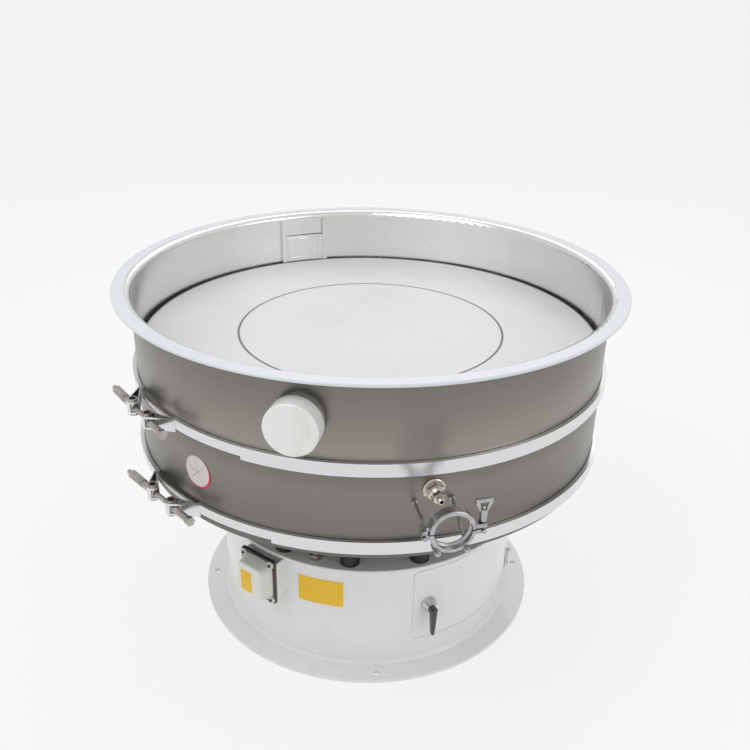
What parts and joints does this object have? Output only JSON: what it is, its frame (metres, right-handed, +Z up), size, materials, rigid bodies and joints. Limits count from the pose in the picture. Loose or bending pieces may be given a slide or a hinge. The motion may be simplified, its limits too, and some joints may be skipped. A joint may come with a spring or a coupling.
{
  "type": "vibrating sieve",
  "caption": "Round ultrasonic vibrating sieve: open screening deck in flanged frames with clamp bands, on rubber springs over a painted base with a vertical vibration motor.",
  "frame": {"origin": "centre of the base's underside, on the floor", "axes": "+Z up along the machine's axis; -Y is the front, between the inspection port and the transducer holder; +X to the right seen from the front"},
  "size_m": [1.0739, 1.232, 0.777],
  "materials": {
    "white_paint": "gloss",
    "stainless": "satin",
    "polished": "polished",
    "band_steel": "satin",
    "zinc": "zinc plated",
    "chrome": "bright",
    "nickel": "bright",
    "black_rubber": "matt",
    "white_silicone": "satin",
    "dark_plastic": "matt",
    "cream_plastic": "satin",
    "ivory_plastic": "satin",
    "yellow_label": "satin",
    "white_label": "satin",
    "mesh_steel": "woven",
    "motor_paint": "satin",
    "bearing_steel": "ground",
    "iron": "machined"
  },
  "bodies": {
    "base": {"base_foot": "white_paint", "base_shell": "white_paint", "base_top": "white_paint", "rubber_springs": "black_rubber", "spring_lower_nuts": "zinc", "limit_studs": "zinc", "door_hinge_leaves": "white_paint", "door_hinge_pins": "zinc", "box_bracket": "white_paint", "junction_box": "dark_plastic", "junction_box_cover": "cream_plastic", "junction_box_screws": "zinc", "caution_labels": "yellow_label"},
    "door": {"access_door": "white_paint", "door_hinge_knuckles": "white_paint", "handle_rosette": "chrome"},
    "handle": {"door_handle": "dark_plastic", "handle_cam": "zinc"},
    "sieve_body": {"lower_frame": "stainless", "spring_upper_nuts": "zinc", "discharge_dome": "polished", "lower_seal": "white_silicone", "middle_frame": "stainless", "fines_spout": "stainless", "disc_label": "white_label", "screen_seal": "white_silicone", "screen_frame": "polished", "screen_mesh": "mesh_steel", "resonator_ring": "polished", "upper_frame": "stainless", "coarse_spout": "stainless", "inspection_pipe": "stainless", "rim_trim": "white_silicone", "gate_guides": "polished", "side_fitting": "nickel", "side_gland": "nickel", "holder_studs": "band_steel", "holder_clamp_lower": "band_steel", "holder_clamp_upper": "band_steel", "holder_clamp_link": "band_steel", "holder_clamp_pins": "band_steel", "lower_clamp_band": "band_steel", "lower_latch_trunnions": "band_steel", "lower_latch_rod": "zinc", "upper_clamp_band": "band_steel", "upper_latch_trunnions": "band_steel", "upper_latch_rod": "zinc", "motor_housing": "motor_paint", "motor_bearings": "bearing_steel", "motor_bolts": "zinc"},
    "upper_latch_nut": {"upper_latch_nut": "zinc"},
    "lower_latch_nut": {"lower_latch_nut": "zinc"},
    "port_cap": {"port_cap": "ivory_plastic"},
    "gate": {"discharge_gate": "polished"},
    "swing_bolt": {"swing_bolt": "band_steel"},
    "wing_nut": {"wing_nut": "band_steel"},
    "rotor": {"rotor_shaft": "bearing_steel", "upper_weight": "iron", "lower_weight": "iron"},
    "phase_weight": {"phase_weight": "iron"}
  },
  "joints": [
    {"name": "vibration", "type": "slide", "parent": "base", "child": "sieve_body", "axis": [0, 0, 1], "range_m": [-0.003, 0.003], "stiffness_N_per_m": 800000, "springref_m": 0.00183, "deforming": ["rubber_springs"]},
    {"name": "door_hinge", "type": "hinge", "parent": "base", "child": "door", "pos_m": [0.33795, -0.07183, 0.15], "axis": [0, 0, 1], "range_deg": [0, 100]},
    {"name": "handle_turn", "type": "hinge", "parent": "door", "child": "handle", "pos_m": [0.1323, -0.3132, 0.1525], "axis": [0.3891, -0.9212, 0], "range_deg": [-90, 0]},
    {"name": "upper_nut_spin", "type": "hinge", "parent": "sieve_body", "child": "upper_latch_nut", "pos_m": [-0.43555, -0.31068, 0.599], "axis": [0.5807, -0.8141, 0], "continuous": true},
    {"name": "lower_nut_spin", "type": "hinge", "parent": "sieve_body", "child": "lower_latch_nut", "pos_m": [-0.39883, -0.35659, 0.436], "axis": [0.6665, -0.7455, 0], "continuous": true},
    {"name": "cap_pull", "type": "slide", "parent": "sieve_body", "child": "port_cap", "axis": [-0.2385, -0.9711, 0], "range_m": [0, 0.04]},
    {"name": "gate_lift", "type": "slide", "parent": "sieve_body", "child": "gate", "axis": [0, 0, 1], "range_m": [0, 0.045]},
    {"name": "bolt_swing", "type": "hinge", "parent": "sieve_body", "child": "swing_bolt", "pos_m": [0.18806, -0.59777, 0.54675], "axis": [-0.23, 0.9732, 0], "range_deg": [0, 80]},
    {"name": "wing_nut_spin", "type": "hinge", "parent": "swing_bolt", "child": "wing_nut", "pos_m": [0.18806, -0.59777, 0.54675], "axis": [0, 0, 1], "continuous": true},
    {"name": "motor_spin", "type": "hinge", "parent": "sieve_body", "child": "rotor", "pos_m": [0, 0, 0.3], "axis": [0, 0, 1], "continuous": true},
    {"name": "phase_adjust", "type": "hinge", "parent": "rotor", "child": "phase_weight", "pos_m": [0, 0, 0.134], "axis": [0, 0, 1], "range_deg": [-60, 60]}
  ]
}
